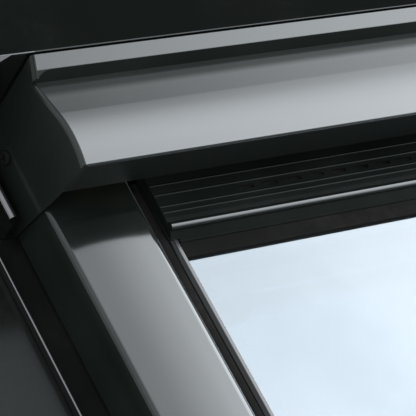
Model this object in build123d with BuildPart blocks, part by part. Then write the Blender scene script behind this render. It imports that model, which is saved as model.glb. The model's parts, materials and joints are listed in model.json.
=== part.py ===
from build123d import *
import math
import os

# A centre-pivot roof window, drawn flat: X runs across it, Y up the slope and Z out of the roof.
# Z = 0 is the top of the battens. The origin is the middle of the pattern of bracket holes.
# All sizes are in millimetres.

# Timber frame
frame_width = 780.0
frame_height = 978.0
frame_member = 45.0
frame_above = 40.0
frame_below = 75.0
timber_round = 3.0
lining_groove_width = 10.0
lining_groove_depth = 8.0
lining_groove_edge = 5.0

# Timber sash
sash_side_gap = 5.0
sash_end_gap = 12.0
sash_above = 35.0
sash_below = 25.0
stile_width = 40.0
top_rail_width = 65.5
bottom_rail_width = 56.0
glass_shoulder = 18.0
sash_range = 160.0

# Glass unit and what holds it
pane = 4.0
pane_gap = 16.0
glazing_tape_height = 3.0
glass_slack = 2.0
spacer_width = 8.0
spacer_inset = 3.0
glass_cover = 12.0
seal_height = 3.0
seal_round = 1.0
top_seal_overhang = 11.5
profile_height = 2.5
profile_rib = 2.0
profile_rib_width = 3.0
setting_block_length = 60.0
setting_block_places = 2

# Sheet metal and the small gaps between layers
sheet = 0.8
layer_gap = 0.4
seat_gap = 0.1
cut_margin = 1.0
bend = 1.6

# Side covers
cover_side_bottom = 6.0
cover_edge_height = 45.5
cover_crown_height = 50.8
cover_crown_sag = 0.9
cover_width = 67.6
cover_bend = 4.0
cover_edge_run = 3.4
cover_edge_rise = 0.6
cover_roll = 8.0
upper_cover_leg = 9.7
lower_cover_foot = 12.0
cover_split_upper = 57.0
cover_split_gap = 3.0
full_cover_start = 13.0
hood_tuck = 3.0

# Hood
lip_height = 100.5
lip_setback = 76.0
hood_drop = 30.4
drop_undercut = 1.8
lip_nose = 1.8
lip_nose_round = 2.2
hood_return = 10.0
slope_length = 67.5
slope_dome = 8.8
slope_dome_place = 42.0
slope_turn = 6.8
slope_turn_place = 29.0
slope_start = -5.3
hood_jog_height = 60.0
hood_leg_bottom = 20.0
cap_foot_setback = 12.0
cap_screw_setback = 19.0
cap_rim = 3.2
cap_rim_wall = 2.6
cap_round = 2.2
band_rise = 5.2
band_depth = 8.5
band_low_above_groove = 6.7
band_low_past_groove = 4.7
cove_length = 11.0
cove_depth = 5.0
cove_thickness = 3.2

# Head flashing
flashing_reach = 85.0
flashing_height = 3.5
head_flashing_length = 150.0
head_upstand_gap = 6.2
upstand_rise = 0.7
upstand_wing = 40.0
wing_hem_start = 12.0
wing_hem_width = 3.7
wing_hem_slant = 10.4
leg_start = 15.0
leg_distance = 9.5
leg_bead_height = 26.0
bead_radius = 3.0
hem_width = 8.0
hem_height = 2.4

# Side and apron flashings
flashing_upstand = 36.0
fold_distance = 24.3
fold_height = 6.5
fold_thickness = 1.8
fold_round = 0.8
side_flashing_tuck = 32.0
side_flashing_drop = 31.0
apron_length = 150.0
apron_flat = 40.0
pleat_pitch = 15.0
pleat_height = 5.0
apron_upstand = 34.0
sill_cover_bottom = 12.0

# Sash covers at top and bottom
top_cover_rear = 46.5
top_cover_front = 45.0
top_cover_leg = 20.0
top_cover_lap = 7.0
sash_bead_radius = 3.0
sash_bead_place = 20.5
ridge_radius = 0.8
ridge_places = (10.3, 14.8, 23.6, 31.0)
slot_length = 14.0
slot_width = 3.0
slot_pitch = 20.0
top_cover_slot_place = 19.2
bottom_cover_crown = 51.0
bottom_cover_front = 5.0
bottom_cover_drop = 32.0

# Pivot
pivot_height = 44.0
pin_radius = 3.5
running_gap = 0.05
boss_radius = 5.2
boss_length = 11.0
plate = 3.0
plate_width = 28.0
plate_bottom = -12.0
pocket_gap = 0.3
hinge_cover_radius = 9.5
hinge_cover_wall = 1.2
hinge_cover_dip = 5.2
hinge_cover_rise = 7.5
hinge_cover_side_gap = 1.0
hinge_cover_inner_gap = 2.0
hinge_ramp_gap = 1.0

# Brackets and screws
bracket_setback = 179.0
bracket_width = 60.0
bracket_thickness = 3.0
bracket_reach = 65.0
bracket_depth = 48.0
batten_hole_radius = 3.25
batten_hole_inner = 22.0
batten_hole_outer = 48.0
jamb_screw_spread = 18.0
jamb_screw_depth = 25.0
screw_radius = 2.4
screw_length = 28.0
screw_head_radius = 5.0
screw_head_height = 2.5
screw_gap = 0.1
cover_screw_height = 24.0
cover_screw_start = 130.0
cover_screw_setback = 239.0
cap_screw_height = 37.0

# Gasket
gasket_low = 25.0
gasket_high = 30.0
gasket_side_reach = 4.0
gasket_end_reach = 5.0
gasket_hinge_gap = 18.0

# Ventilation flap and control bar
flap_open = 30.0
flap_hinge_inset = 44.0
flap_hinge_depth = 6.0
flap_end_gap = 30.0
flap_width = 30.0
flap_thickness = 8.0
flap_round = 2.0
flap_pin_radius = 2.5
flap_pin_length = 10.0
flap_seal_height = 1.8
bearing_size = 11.0
bearing_height = 12.0
bar_radius = 8.0
bar_setback = 15.0
bar_distance = 40.0
bar_along = 18.0
bar_bracket_setback = 70.0
bar_bracket_thickness = 12.0
bar_eye_radius = 11.0
bar_bracket_waist = 9.0
bar_round = 2.5
vent_inner_end = 45.0
vent_end_gap = 50.0
vent_near = 20.0
vent_far = 36.0

# Latch
latch_width = 20.0
latch_height = 10.0
latch_length = 30.0
latch_travel = 20.0
latch_level = 2.0
latch_proud = 1.0
latch_chamfer = 2.0
latch_gap = 0.3
latch_case_width = 64.0
latch_case_height = 20.0
latch_case_depth = 32.0
striker_thickness = 2.0
striker_length = 50.0
striker_height = 26.0
striker_slot_gap = 1.5
striker_pocket_gap = 2.0

# Barrel bolt
bolt_radius = 4.0
bolt_chamfer = 0.8
bolt_length = 46.0
bolt_travel = 16.0
bolt_inset = 14.0
bolt_tip_gap = 1.0
guide_length = 48.0
guide_width = 18.0
guide_height = 12.0
guide_setback = 2.0
knob_radius = 3.0
knob_head_radius = 5.0
knob_length = 16.0
knob_head_height = 6.0
knob_place = 34.0
bush_radius = 7.0
bush_bore = 4.6
bush_length = 12.0

# Worked out from the sizes above
half_width = frame_width / 2
half_height = frame_height / 2
jamb_face = half_width - frame_member
head_face = half_height - frame_member
sash_side = jamb_face - sash_side_gap
sash_end = head_face - sash_end_gap
stile_face = sash_side - stile_width
rebate_side = stile_face + glass_shoulder
rebate_top = sash_end - top_rail_width + glass_shoulder
rebate_bottom = sash_end - bottom_rail_width + glass_shoulder
unit_height = 2 * pane + pane_gap
unit_bottom = sash_above - unit_height
rebate_floor = unit_bottom - glazing_tape_height
glass_side = rebate_side - glass_slack
glass_top = rebate_top - glass_slack
glass_bottom = rebate_bottom - glass_slack
profile_top = sash_above + profile_height
seal_top = sash_above + seal_height
cover_side = half_width + sheet + layer_gap + sheet
cover_inner = cover_side - cover_width
cover_mouth = sash_above + profile_height + seat_gap
hood_side = cover_side + layer_gap + sheet + sheet
lip_place = half_height - lip_setback
groove_place = lip_place + slope_length
groove_height = lip_height + slope_start
flashing_side = half_width + flashing_reach
flashing_top = flashing_height + sheet
leg_face = cover_side + leg_distance
base_low = flashing_top + layer_gap / 2
base_high = base_low + sheet
band_low = (groove_place + band_low_past_groove, groove_height + band_low_above_groove)
band_high = (band_low[0] + band_depth, band_low[1] + band_rise)
hood_end = hood_side - cap_rim
bracket_place = half_height - bracket_setback
flap_length = 2 * (stile_face - flap_end_gap)
bar_length = flap_length - 2 * bar_setback
bar_bracket_place = flap_length / 2 - bar_bracket_setback
vent_outer_end = stile_face - vent_end_gap
slot_count = int((vent_outer_end - vent_inner_end) // slot_pitch)
upper_cover_top = half_height - hood_tuck
lower_cover_top = -(cover_split_upper + cover_split_gap)
lower_cover_bottom = -(half_height + bottom_cover_front)
flap_hinge = (sash_end - flap_hinge_inset, -sash_below - flap_hinge_depth)
bolt_place = (sash_end - bolt_inset, -sash_below - guide_height / 2)
bolt_tip = sash_side - bolt_tip_gap
latch_tip = sash_end + latch_proud
striker_pocket = latch_tip + latch_travel + striker_pocket_gap - head_face

os.makedirs("parts", exist_ok=True)


def write(piece, name):
    piece.label = name
    export_step(piece, f"parts/{name}.step")


def write_pair(left, name):
    """Writes a left-hand piece and its mirror image."""
    write(left, name + "_left")
    with BuildPart() as right:
        mirror(left, about=Plane.YZ)
    write(right.part, name + "_right")


def down_from(y):
    """Sketches here read (x, z) and extrude down the slope."""
    return Plane((0, y, 0), x_dir=(1, 0, 0), z_dir=(0, -1, 0))


def across_from(x):
    """Sketches here read (y, z) and extrude towards +X."""
    return Plane((x, 0, 0), x_dir=(0, 1, 0), z_dir=(1, 0, 0))


def block(x, y, z, mode=Mode.ADD):
    """A block between the two limits given along each axis."""
    with Locations(((x[0] + x[1]) / 2, (y[0] + y[1]) / 2, (z[0] + z[1]) / 2)):
        Box(x[1] - x[0], y[1] - y[0], z[1] - z[0], mode=mode)


def rod(x, y, z, radius, mode=Mode.ADD):
    """A round bar along X between the two limits x."""
    with Locations(Location(((x[0] + x[1]) / 2, y, z), (0, 90, 0))):
        Cylinder(radius, x[1] - x[0], mode=mode)


def turned(y, z, degrees):
    """Where a point of the sash lies once the sash has turned by this much."""
    angle = math.radians(degrees)
    above = z - pivot_height
    return (
        y * math.cos(angle) + above * math.sin(angle),
        pivot_height - y * math.sin(angle) + above * math.cos(angle),
    )


# Timber frame: local x = 0 is a bar's outer face
def frame_bar(plane, length):
    with BuildPart() as bar:
        with BuildSketch(plane) as section:
            with Locations((frame_member / 2, (frame_above - frame_below) / 2)):
                Rectangle(frame_member, frame_above + frame_below)
            fillet(section.vertices(), timber_round)
            groove_middle = lining_groove_edge + lining_groove_width / 2 - frame_below
            with Locations((frame_member - lining_groove_depth / 2, groove_middle)):
                Rectangle(lining_groove_depth, lining_groove_width, mode=Mode.SUBTRACT)
        extrude(amount=length)
    return bar.part


bush_spots = (bolt_place, turned(*bolt_place, sash_range))
jamb_screw_spots = [
    (side * bracket_place + spread * jamb_screw_spread, -jamb_screw_depth)
    for side in (-1, 1)
    for spread in (-1, 1)
]
cover_screw_spots = [
    (cover_screw_start, cover_screw_height),
    (half_height - cover_screw_setback, cover_screw_height),
]
cap_screw_spot = (upper_cover_top - cap_screw_setback, cap_screw_height)

plate_half = plate_width / 2 + pocket_gap
boss_half = boss_radius + pocket_gap

with BuildPart() as frame_jamb:
    add(frame_bar(Plane((-half_width, half_height, 0), x_dir=(1, 0, 0), z_dir=(0, -1, 0)), frame_height))
    block((-jamb_face - plate, -jamb_face), (-plate_half, plate_half),
          (plate_bottom - pocket_gap, frame_above), Mode.SUBTRACT)
    block((-jamb_face - boss_length - pocket_gap, -jamb_face), (-boss_half, boss_half),
          (pivot_height - boss_half, frame_above), Mode.SUBTRACT)
    for y, z in jamb_screw_spots + cover_screw_spots + [cap_screw_spot]:
        rod((-half_width, -half_width + screw_length + screw_gap), y, z,
            screw_radius + screw_gap, Mode.SUBTRACT)

with BuildPart() as frame_jamb_left:
    add(frame_jamb.part)
    for y, z in bush_spots:
        rod((-jamb_face - bush_length, -jamb_face), y, z, bush_radius, Mode.SUBTRACT)
write(frame_jamb_left.part, "frame_jamb_left")

with BuildPart() as frame_jamb_right:
    mirror(frame_jamb.part, about=Plane.YZ)
write(frame_jamb_right.part, "frame_jamb_right")

striker_half = striker_length / 2
striker_low = latch_level - striker_height / 2
striker_high = latch_level + striker_height / 2
slot_half = latch_width / 2 + striker_slot_gap
slot_low = latch_level - latch_height / 2 - striker_slot_gap
slot_high = latch_level + latch_height / 2 + striker_slot_gap

with BuildPart() as frame_head:
    add(frame_bar(Plane((jamb_face, half_height, 0), x_dir=(0, -1, 0), z_dir=(-1, 0, 0)), 2 * jamb_face))
    block((-striker_half, striker_half), (head_face, head_face + striker_thickness),
          (striker_low, striker_high), Mode.SUBTRACT)
    block((-slot_half, slot_half), (head_face, head_face + striker_pocket),
          (slot_low, slot_high), Mode.SUBTRACT)
write(frame_head.part, "frame_head")

with BuildPart() as frame_sill:
    add(frame_bar(Plane((-jamb_face, -half_height, 0), x_dir=(0, 1, 0), z_dir=(1, 0, 0)), 2 * jamb_face))
write(frame_sill.part, "frame_sill")

with BuildPart() as striker_plate:
    block((-striker_half, striker_half), (head_face, head_face + striker_thickness),
          (striker_low, striker_high))
    fillet(striker_plate.edges().filter_by(Axis.Y), timber_round)
    block((-slot_half, slot_half), (head_face, head_face + striker_thickness),
          (slot_low, slot_high), Mode.SUBTRACT)
write(striker_plate.part, "striker_plate")

with BuildPart() as bolt_bushes:
    for y, z in bush_spots:
        rod((-jamb_face - bush_length, -jamb_face), y, z, bush_radius)
        rod((-jamb_face - bush_length + sheet, -jamb_face), y, z, bush_bore, Mode.SUBTRACT)
write(bolt_bushes.part, "bolt_bushes")

# Rubber gasket on the inside of the frame, broken at the two hinges
with BuildPart() as frame_gasket:
    with BuildSketch(Plane.XY.offset(gasket_low)) as ring:
        Rectangle(2 * jamb_face, 2 * head_face)
        Rectangle(2 * (jamb_face - gasket_side_reach), 2 * (head_face - gasket_end_reach),
                  mode=Mode.SUBTRACT)
        Rectangle(2 * jamb_face, 2 * gasket_hinge_gap, mode=Mode.SUBTRACT)
    extrude(amount=gasket_high - gasket_low)
write(frame_gasket.part, "frame_gasket")


# Hood: one folded and curved sheet from the return under the drop to the leg behind the frame
lip = (lip_place, lip_height)
groove = (groove_place, groove_height)
drop_foot = (lip_place + drop_undercut, lip_height - hood_drop)
drop_top = (lip_place - lip_nose / 2, lip_height - lip_nose)
hood_leg_face = half_height + sheet
band_slope = math.atan2(band_rise, band_depth)
band_normal = (0, -math.sin(band_slope), math.cos(band_slope))
cove_front = (
    band_low[0] - cove_depth * math.cos(band_slope),
    band_low[1] - cove_depth * math.sin(band_slope),
)


def hood_slope():
    """The drop and its rounded lip, then the slope's S curve: a crown and a hollow down to the groove."""
    Line(drop_foot, drop_top)
    RadiusArc(drop_top, lip, lip_nose_round)
    dome = (groove_place - slope_dome_place, groove_height + slope_dome)
    turn = (groove_place - slope_turn_place, groove_height + slope_turn)
    crown = ThreePointArc(lip, dome, turn)
    TangentArc(crown @ 1, groove, tangent=crown % 1)


with BuildPart() as hood:
    with BuildSketch(across_from(-hood_end)) as section:
        with BuildLine() as outline:
            Line((drop_foot[0] + hood_return, drop_foot[1]), drop_foot)
            hood_slope()
            Polyline(
                groove,
                band_low,
                band_high,
                (band_high[0], hood_jog_height),
                (hood_leg_face, hood_jog_height),
                (hood_leg_face, hood_leg_bottom),
            )
            offset(amount=sheet, side=Side.RIGHT)
        make_face()
    extrude(amount=2 * hood_end)
    for side in (-1, 1):
        cove_end = side * hood_end
        cove_start = side * (hood_end - cove_length)
        with BuildSketch(Plane((0, *band_low), x_dir=(1, 0, 0), z_dir=band_normal)) as cove:
            with BuildLine() as outline:
                curve = TangentArc((cove_start, 0), (cove_end, -cove_depth), tangent=(side, 0))
                Polyline(curve @ 1, (cove_end, 0), curve @ 0)
            make_face()
        extrude(amount=-cove_thickness)
write(hood.part, "hood")


def cap_outline(*lower_corners):
    """An end cap's face: the hood's own curve above, closed through the corners below it."""
    with BuildSketch() as section:
        with BuildLine() as outline:
            hood_slope()
            Polyline(groove, cove_front, band_high, *lower_corners, drop_foot)
        make_face()
    return section.sketch


with BuildPart() as hood_end_cap:
    with BuildSketch(across_from(-hood_side)) as section:
        add(cap_outline(
            (band_high[0], base_high + seat_gap),
            (drop_foot[0] + cap_foot_setback, base_high + seat_gap),
        ))
    extrude(amount=sheet)
    with BuildSketch(across_from(-hood_side)) as rim:
        rim_face = cap_outline((band_high[0], drop_foot[1]))
        add(rim_face)
        add(offset(rim_face, -cap_rim_wall, mode=Mode.PRIVATE), mode=Mode.SUBTRACT)
    extrude(amount=cap_rim)
    shown = hood_end_cap.edges().group_by(Axis.X)[0].filter_by(lambda edge: edge.center().Z > lip_height)
    fillet(shown, cap_round)
    rod((-hood_side, -hood_side + sheet), *cap_screw_spot, screw_radius + screw_gap, Mode.SUBTRACT)
write_pair(hood_end_cap.part, "hood_end_cap")


# Side covers: rounded outer edge, crowned top, leg towards the glass
def cover_curve():
    """A side cover's outer face, rounded edge, crowned top and roll down towards the glass."""
    side = Line((-cover_side, cover_side_bottom), (-cover_side, cover_edge_height - cover_bend))
    edge_end = (-cover_side + cover_edge_run, cover_edge_height + cover_edge_rise)
    edge = RadiusArc(side @ 1, edge_end, cover_bend)
    top = ThreePointArc(
        edge @ 1,
        (-cover_side + cover_width / 2, cover_crown_height - cover_crown_sag),
        (-cover_inner - cover_roll, cover_crown_height),
    )
    return RadiusArc(top @ 1, (-cover_inner, cover_crown_height - cover_roll), cover_roll)


def cover_outline(leg_end, foot, inner_side):
    with BuildSketch() as section:
        with BuildLine() as outline:
            roll = cover_curve()
            Polyline(roll @ 1, (-cover_inner, leg_end), *foot)
            offset(amount=sheet, side=inner_side)
        make_face()
    return section.sketch


with BuildPart() as upper_side_cover:
    with BuildSketch(down_from(upper_cover_top)) as section:
        add(cover_outline(cover_crown_height - upper_cover_leg, (), Side.RIGHT))
    extrude(amount=upper_cover_top + cover_split_upper)
    block((-jamb_face - 2 * layer_gap, -cover_inner + cut_margin),
          (-cover_split_upper - cut_margin, full_cover_start), (0, lip_height), Mode.SUBTRACT)
    for y, z in cover_screw_spots + [cap_screw_spot]:
        rod((-hood_side, -half_width), y, z, screw_radius + screw_gap, Mode.SUBTRACT)
write_pair(upper_side_cover.part, "upper_side_cover")

with BuildPart() as lower_side_cover:
    with BuildSketch(down_from(lower_cover_top)) as section:
        add(cover_outline(cover_mouth, ((-cover_inner - lower_cover_foot, cover_mouth),), Side.LEFT))
    extrude(amount=lower_cover_top - lower_cover_bottom)
    block((-cover_inner - lower_cover_foot, -cover_inner), (lower_cover_bottom, -sash_end),
          (cover_side_bottom, frame_above + sheet + bend), Mode.SUBTRACT)
    with BuildSketch(down_from(lower_cover_bottom + sheet)) as end_plate:
        with BuildLine() as outline:
            roll = cover_curve()
            Polyline(roll @ 1, (-cover_inner, cover_side_bottom), (-cover_side, cover_side_bottom))
        make_face()
    extrude(amount=sheet)
write_pair(lower_side_cover.part, "lower_side_cover")

with BuildPart() as sill_cover:
    with BuildSketch(across_from(-half_width)) as section:
        with BuildLine() as outline:
            Polyline(
                (-head_face - timber_round, frame_above + sheet),
                (-half_height - 2 * sheet - layer_gap, frame_above + sheet),
                (-half_height - 2 * sheet - layer_gap, sill_cover_bottom),
            )
            offset(amount=sheet, side=Side.LEFT)
        make_face()
    extrude(amount=frame_width)
write(sill_cover.part, "sill_cover")

# Head flashing: base plate, upstand behind the hood with a hem at each end, and two legs beside the frame
back_face = half_height + head_upstand_gap
head_flashing_end = half_height + head_flashing_length
leg_end_place = lip_place + leg_start
upstand_top = band_high[1] + upstand_rise

with BuildPart() as head_flashing:
    with BuildSketch(Plane.XY.offset(base_low)) as base:
        with Locations((0, (leg_end_place + head_flashing_end) / 2)):
            Rectangle(2 * flashing_side, head_flashing_end - leg_end_place)
        with Locations((0, (leg_end_place + back_face) / 2)):
            Rectangle(2 * (cover_side + layer_gap), back_face - leg_end_place, mode=Mode.SUBTRACT)
    extrude(amount=sheet)
    upstand_side = hood_side + upstand_wing
    block((-upstand_side, upstand_side), (back_face, back_face + sheet), (base_low, upstand_top))
    hem_plane = Plane((0, back_face + sheet / 2, upstand_top), x_dir=(1, 0, 0), z_dir=band_normal)
    for side in (-1, 1):
        with BuildSketch(hem_plane) as hem:
            with BuildLine() as outline:
                Polyline(
                    (side * (hood_side + wing_hem_start), 0),
                    (side * upstand_side, 0),
                    (side * upstand_side, -wing_hem_width),
                    (side * (hood_side + wing_hem_start + wing_hem_slant), -wing_hem_width),
                    close=True,
                )
            make_face()
        extrude(amount=-sheet)
        block(sorted((side * leg_face, side * (leg_face - sheet))), (leg_end_place, back_face + sheet),
              (base_low, leg_bead_height))
        with BuildSketch(down_from(back_face)) as bead:
            with Locations((side * (leg_face - sheet + bead_radius), leg_bead_height)):
                Circle(bead_radius)
                Circle(bead_radius - sheet, mode=Mode.SUBTRACT)
        extrude(amount=back_face - leg_end_place)
        block(sorted((side * flashing_side, side * (flashing_side - hem_width))),
              (leg_end_place, head_flashing_end), (base_low, base_low + hem_height))
    block((-flashing_side, flashing_side), (head_flashing_end - hem_width, head_flashing_end),
          (base_low, base_low + hem_height))
write(head_flashing.part, "head_flashing")

# Side flashings: upstand behind the covers, flat water way, raised fold and hemmed flange
side_flashing_end = -half_height - side_flashing_drop
side_fold_top = leg_end_place - layer_gap

with BuildPart() as side_flashing:
    with BuildSketch(down_from(leg_end_place + side_flashing_tuck)) as section:
        with BuildLine() as outline:
            Polyline(
                (-flashing_side, flashing_top),
                (-half_width - sheet, flashing_top),
                (-half_width - sheet, flashing_upstand),
            )
            offset(amount=sheet, side=Side.RIGHT)
        make_face()
    extrude(amount=leg_end_place + side_flashing_tuck - side_flashing_end)
    with BuildSketch(down_from(side_fold_top)) as raised:
        fold_place = -half_width - sheet - fold_distance
        with Locations((fold_place, flashing_top + fold_height / 2)):
            Rectangle(fold_thickness, fold_height)
        fillet(raised.vertices().group_by(Axis.Y)[-1], fold_round)
        with Locations((-flashing_side + hem_width / 2, flashing_height + hem_height / 2)):
            Rectangle(hem_width, hem_height)
    extrude(amount=side_fold_top - side_flashing_end)
    for y, z in cover_screw_spots + [cap_screw_spot]:
        rod((-half_width - 2 * sheet, -half_width), y, z, screw_radius + screw_gap, Mode.SUBTRACT)
    block((-half_width - sheet, -half_width), (side_flashing_end, -half_height),
          (flashing_top, flashing_upstand), Mode.SUBTRACT)
write_pair(side_flashing.part, "side_flashing")

# Apron flashing: upstand at the sill, flat strip, hem and a pleated skirt
apron_low = flashing_height - sheet - layer_gap / 2
apron_edge = -half_height - apron_flat
pleat_count = 2 * round(flashing_side / pleat_pitch)
pleat_step = 2 * flashing_side / pleat_count
pleat_top = [
    (-flashing_side + index * pleat_step / 2, apron_low + sheet + (pleat_height - sheet) * (index % 2))
    for index in range(2 * pleat_count + 1)
]

with BuildPart() as apron_flashing:
    with BuildSketch(across_from(-flashing_side)) as section:
        with BuildLine() as outline:
            Polyline((apron_edge, apron_low), (-half_height - sheet, apron_low))
            offset(amount=sheet, side=Side.LEFT)
        make_face()
    extrude(amount=2 * flashing_side)
    block((-half_width, half_width), (-half_height - sheet, -half_height), (apron_low, apron_upstand))
    block((-flashing_side, flashing_side), (apron_edge - hem_width / 2, apron_edge + hem_width / 2),
          (apron_low, apron_low + pleat_height + sheet))
    with BuildSketch(down_from(apron_edge)) as pleats:
        with BuildLine() as outline:
            Polyline(*pleat_top, *[(x, z - sheet) for x, z in reversed(pleat_top)], close=True)
        make_face()
    extrude(amount=apron_length - apron_flat)
write(apron_flashing.part, "apron_flashing")

# Mounting brackets: an angle screwed to the jamb, with two holes for batten screws
bracket_face = half_width + bracket_thickness


def mounting_bracket(side, y):
    with BuildPart() as bracket:
        with BuildSketch(down_from(y + bracket_width / 2)) as section:
            with BuildLine() as outline:
                FilletPolyline(
                    (side * half_width, -bracket_depth),
                    (side * half_width, bracket_thickness),
                    (side * (half_width + bracket_reach), bracket_thickness),
                    radius=bracket_thickness,
                )
                offset(amount=bracket_thickness, side=Side.RIGHT if side > 0 else Side.LEFT)
            make_face()
        extrude(amount=bracket_width)
        for distance in (batten_hole_inner, batten_hole_outer):
            with Locations((side * (half_width + distance), y, bracket_thickness / 2)):
                Cylinder(batten_hole_radius, 2 * bracket_thickness, mode=Mode.SUBTRACT)
        for spread in (-jamb_screw_spread, jamb_screw_spread):
            rod(sorted((side * half_width, side * bracket_face)), y + spread, -jamb_screw_depth,
                screw_radius + screw_gap, Mode.SUBTRACT)
    return bracket.part


for side_name, side in (("left", -1), ("right", 1)):
    for end_name, end in (("upper", 1), ("lower", -1)):
        write(mounting_bracket(side, end * bracket_place), f"mounting_bracket_{end_name}_{side_name}")


def side_screw(face, y, z, side):
    """A screw whose head sits on the plane x = face and whose point goes towards the window."""
    rod(sorted((side * face, side * (face + screw_head_height))), y, z, screw_head_radius)
    rod(sorted((side * face, side * (half_width - screw_length))), y, z, screw_radius)


with BuildPart() as bracket_screws:
    for side in (-1, 1):
        for y, z in jamb_screw_spots:
            side_screw(bracket_face, y, z, side)
write(bracket_screws.part, "bracket_screws")

with BuildPart() as cover_screws:
    for side in (-1, 1):
        for y, z in cover_screw_spots:
            side_screw(cover_side, y, z, side)
        side_screw(hood_side, *cap_screw_spot, side)
write(cover_screws.part, "cover_screws")


# Hinge plates: one let into the jamb with a boss, one let into the stile with the pin
def plate_outline():
    with BuildSketch() as section:
        with Locations((0, (plate_bottom + frame_above - pocket_gap) / 2)):
            Rectangle(plate_width, frame_above - pocket_gap - plate_bottom)
        fillet(section.vertices().group_by(Axis.Y)[0], timber_round)
        with Locations((0, pivot_height)):
            Circle(boss_radius)
        with Locations((0, (frame_above + pivot_height) / 2 - boss_radius / 2)):
            Rectangle(2 * boss_radius, pivot_height - frame_above + boss_radius)
    return section.sketch


with BuildPart() as hinge_frame_plate:
    with BuildSketch(across_from(-jamb_face - plate)) as section:
        add(plate_outline())
    extrude(amount=plate)
    rod((-jamb_face - boss_length, -jamb_face - plate), 0, pivot_height, boss_radius)
    rod((-jamb_face - boss_length, -jamb_face), 0, pivot_height, pin_radius + running_gap, Mode.SUBTRACT)
write_pair(hinge_frame_plate.part, "hinge_frame_plate")

with BuildPart() as sash_hinge_plate:
    with BuildSketch(across_from(-sash_side)) as section:
        with Locations((0, (plate_bottom + sash_above) / 2)):
            Rectangle(plate_width, sash_above - plate_bottom)
        fillet(section.vertices().group_by(Axis.Y)[0], timber_round)
        with Locations((0, pivot_height)):
            Circle(boss_radius)
        with Locations((0, (sash_above + pivot_height) / 2)):
            Rectangle(2 * boss_radius, pivot_height - sash_above)
    extrude(amount=plate)
    rod((-jamb_face - boss_length + pocket_gap, -sash_side), 0, pivot_height, pin_radius)
write_pair(sash_hinge_plate.part, "sash_hinge_plate")

hinge_cover_low = pivot_height - hinge_cover_dip
ramp_start = -(hinge_cover_radius + hinge_cover_dip) + hinge_ramp_gap
ramp_end = -cover_split_upper - hinge_ramp_gap

with BuildPart() as hinge_cover:
    with BuildSketch(across_from(-jamb_face + hinge_cover_side_gap)) as section:
        with BuildLine() as outline:
            front = Line((hinge_cover_radius, cover_mouth), (hinge_cover_radius, pivot_height))
            dome = RadiusArc(front @ 1, (-hinge_cover_radius, pivot_height), -hinge_cover_radius)
            Polyline(dome @ 1, (ramp_start, hinge_cover_low), (ramp_end, pivot_height + hinge_cover_rise))
            offset(amount=hinge_cover_wall, side=Side.LEFT)
        make_face()
    extrude(amount=jamb_face - hinge_cover_side_gap - cover_inner - hinge_cover_inner_gap)
write_pair(hinge_cover.part, "hinge_cover")


# Timber sash: local x = 0 is a bar's outer face
def sash_bar(plane, width, length, rebate):
    with BuildPart() as bar:
        with BuildSketch(plane) as section:
            with Locations((width / 2, (sash_above - sash_below) / 2)):
                Rectangle(width, sash_above + sash_below)
            fillet(section.vertices().group_by(Axis.Y)[0], timber_round)
            if rebate:
                with Locations((width - glass_shoulder / 2, (rebate_floor + sash_above) / 2)):
                    Rectangle(glass_shoulder, sash_above - rebate_floor, mode=Mode.SUBTRACT)
        extrude(amount=length)
    return bar.part


with BuildPart() as sash_stile:
    add(sash_bar(Plane((-sash_side, sash_end, 0), x_dir=(1, 0, 0), z_dir=(0, -1, 0)),
                 stile_width, 2 * sash_end, False))
    block((-rebate_side, -stile_face), (-rebate_bottom, rebate_top),
          (rebate_floor, sash_above), Mode.SUBTRACT)
    block((-sash_side, -sash_side + plate), (-plate_half, plate_half),
          (plate_bottom - pocket_gap, sash_above), Mode.SUBTRACT)
write_pair(sash_stile.part, "sash_stile")

case_half = latch_case_width / 2
case_low = latch_level - latch_case_height / 2
case_high = latch_level + latch_case_height / 2

with BuildPart() as sash_top_rail:
    add(sash_bar(Plane((stile_face, sash_end, 0), x_dir=(0, -1, 0), z_dir=(-1, 0, 0)),
                 top_rail_width, 2 * stile_face, True))
    for side in (-1, 1):
        block(sorted((side * vent_inner_end, side * vent_outer_end)),
              (sash_end - vent_far, sash_end - vent_near), (-sash_below, sash_above), Mode.SUBTRACT)
    block((-case_half, case_half), (sash_end - latch_case_depth, sash_end),
          (case_low, case_high), Mode.SUBTRACT)
write(sash_top_rail.part, "sash_top_rail")

with BuildPart() as sash_bottom_rail:
    add(sash_bar(Plane((-stile_face, -sash_end, 0), x_dir=(0, 1, 0), z_dir=(1, 0, 0)),
                 bottom_rail_width, 2 * stile_face, True))
write(sash_bottom_rail.part, "sash_bottom_rail")


# Glass unit: each layer is a rectangle or a ring between the glass's edges
def glass_rectangle(inset, mode=Mode.ADD):
    with Locations((0, (glass_top - glass_bottom) / 2)):
        Rectangle(2 * (glass_side - inset), glass_top + glass_bottom - 2 * inset, mode=mode)


for name, level in (("glass_inner", unit_bottom), ("glass_outer", unit_bottom + pane + pane_gap)):
    with BuildPart() as glass:
        with BuildSketch(Plane.XY.offset(level)):
            glass_rectangle(0)
        extrude(amount=pane)
    write(glass.part, name)

with BuildPart() as glazing_spacer:
    with BuildSketch(Plane.XY.offset(unit_bottom + pane)):
        glass_rectangle(spacer_inset)
        glass_rectangle(spacer_inset + spacer_width, Mode.SUBTRACT)
    extrude(amount=pane_gap)
write(glazing_spacer.part, "glazing_spacer")

with BuildPart() as glazing_tape:
    with BuildSketch(Plane.XY.offset(rebate_floor)):
        glass_rectangle(0)
        glass_rectangle(glass_shoulder - glass_slack, Mode.SUBTRACT)
    extrude(amount=glazing_tape_height)
write(glazing_tape.part, "glazing_tape")

with BuildPart() as setting_blocks:
    for index in range(setting_block_places):
        middle = (index - (setting_block_places - 1) / 2) * glass_side
        block((middle - setting_block_length / 2, middle + setting_block_length / 2),
              (-rebate_bottom, -glass_bottom), (rebate_floor, sash_above))
write(setting_blocks.part, "setting_blocks")

glass_edge = glass_side - glass_cover
profile_edge = sash_side - plate - pocket_gap
rib_top = profile_top + profile_rib
bottom_seal_start = -glass_bottom + glass_cover

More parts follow.
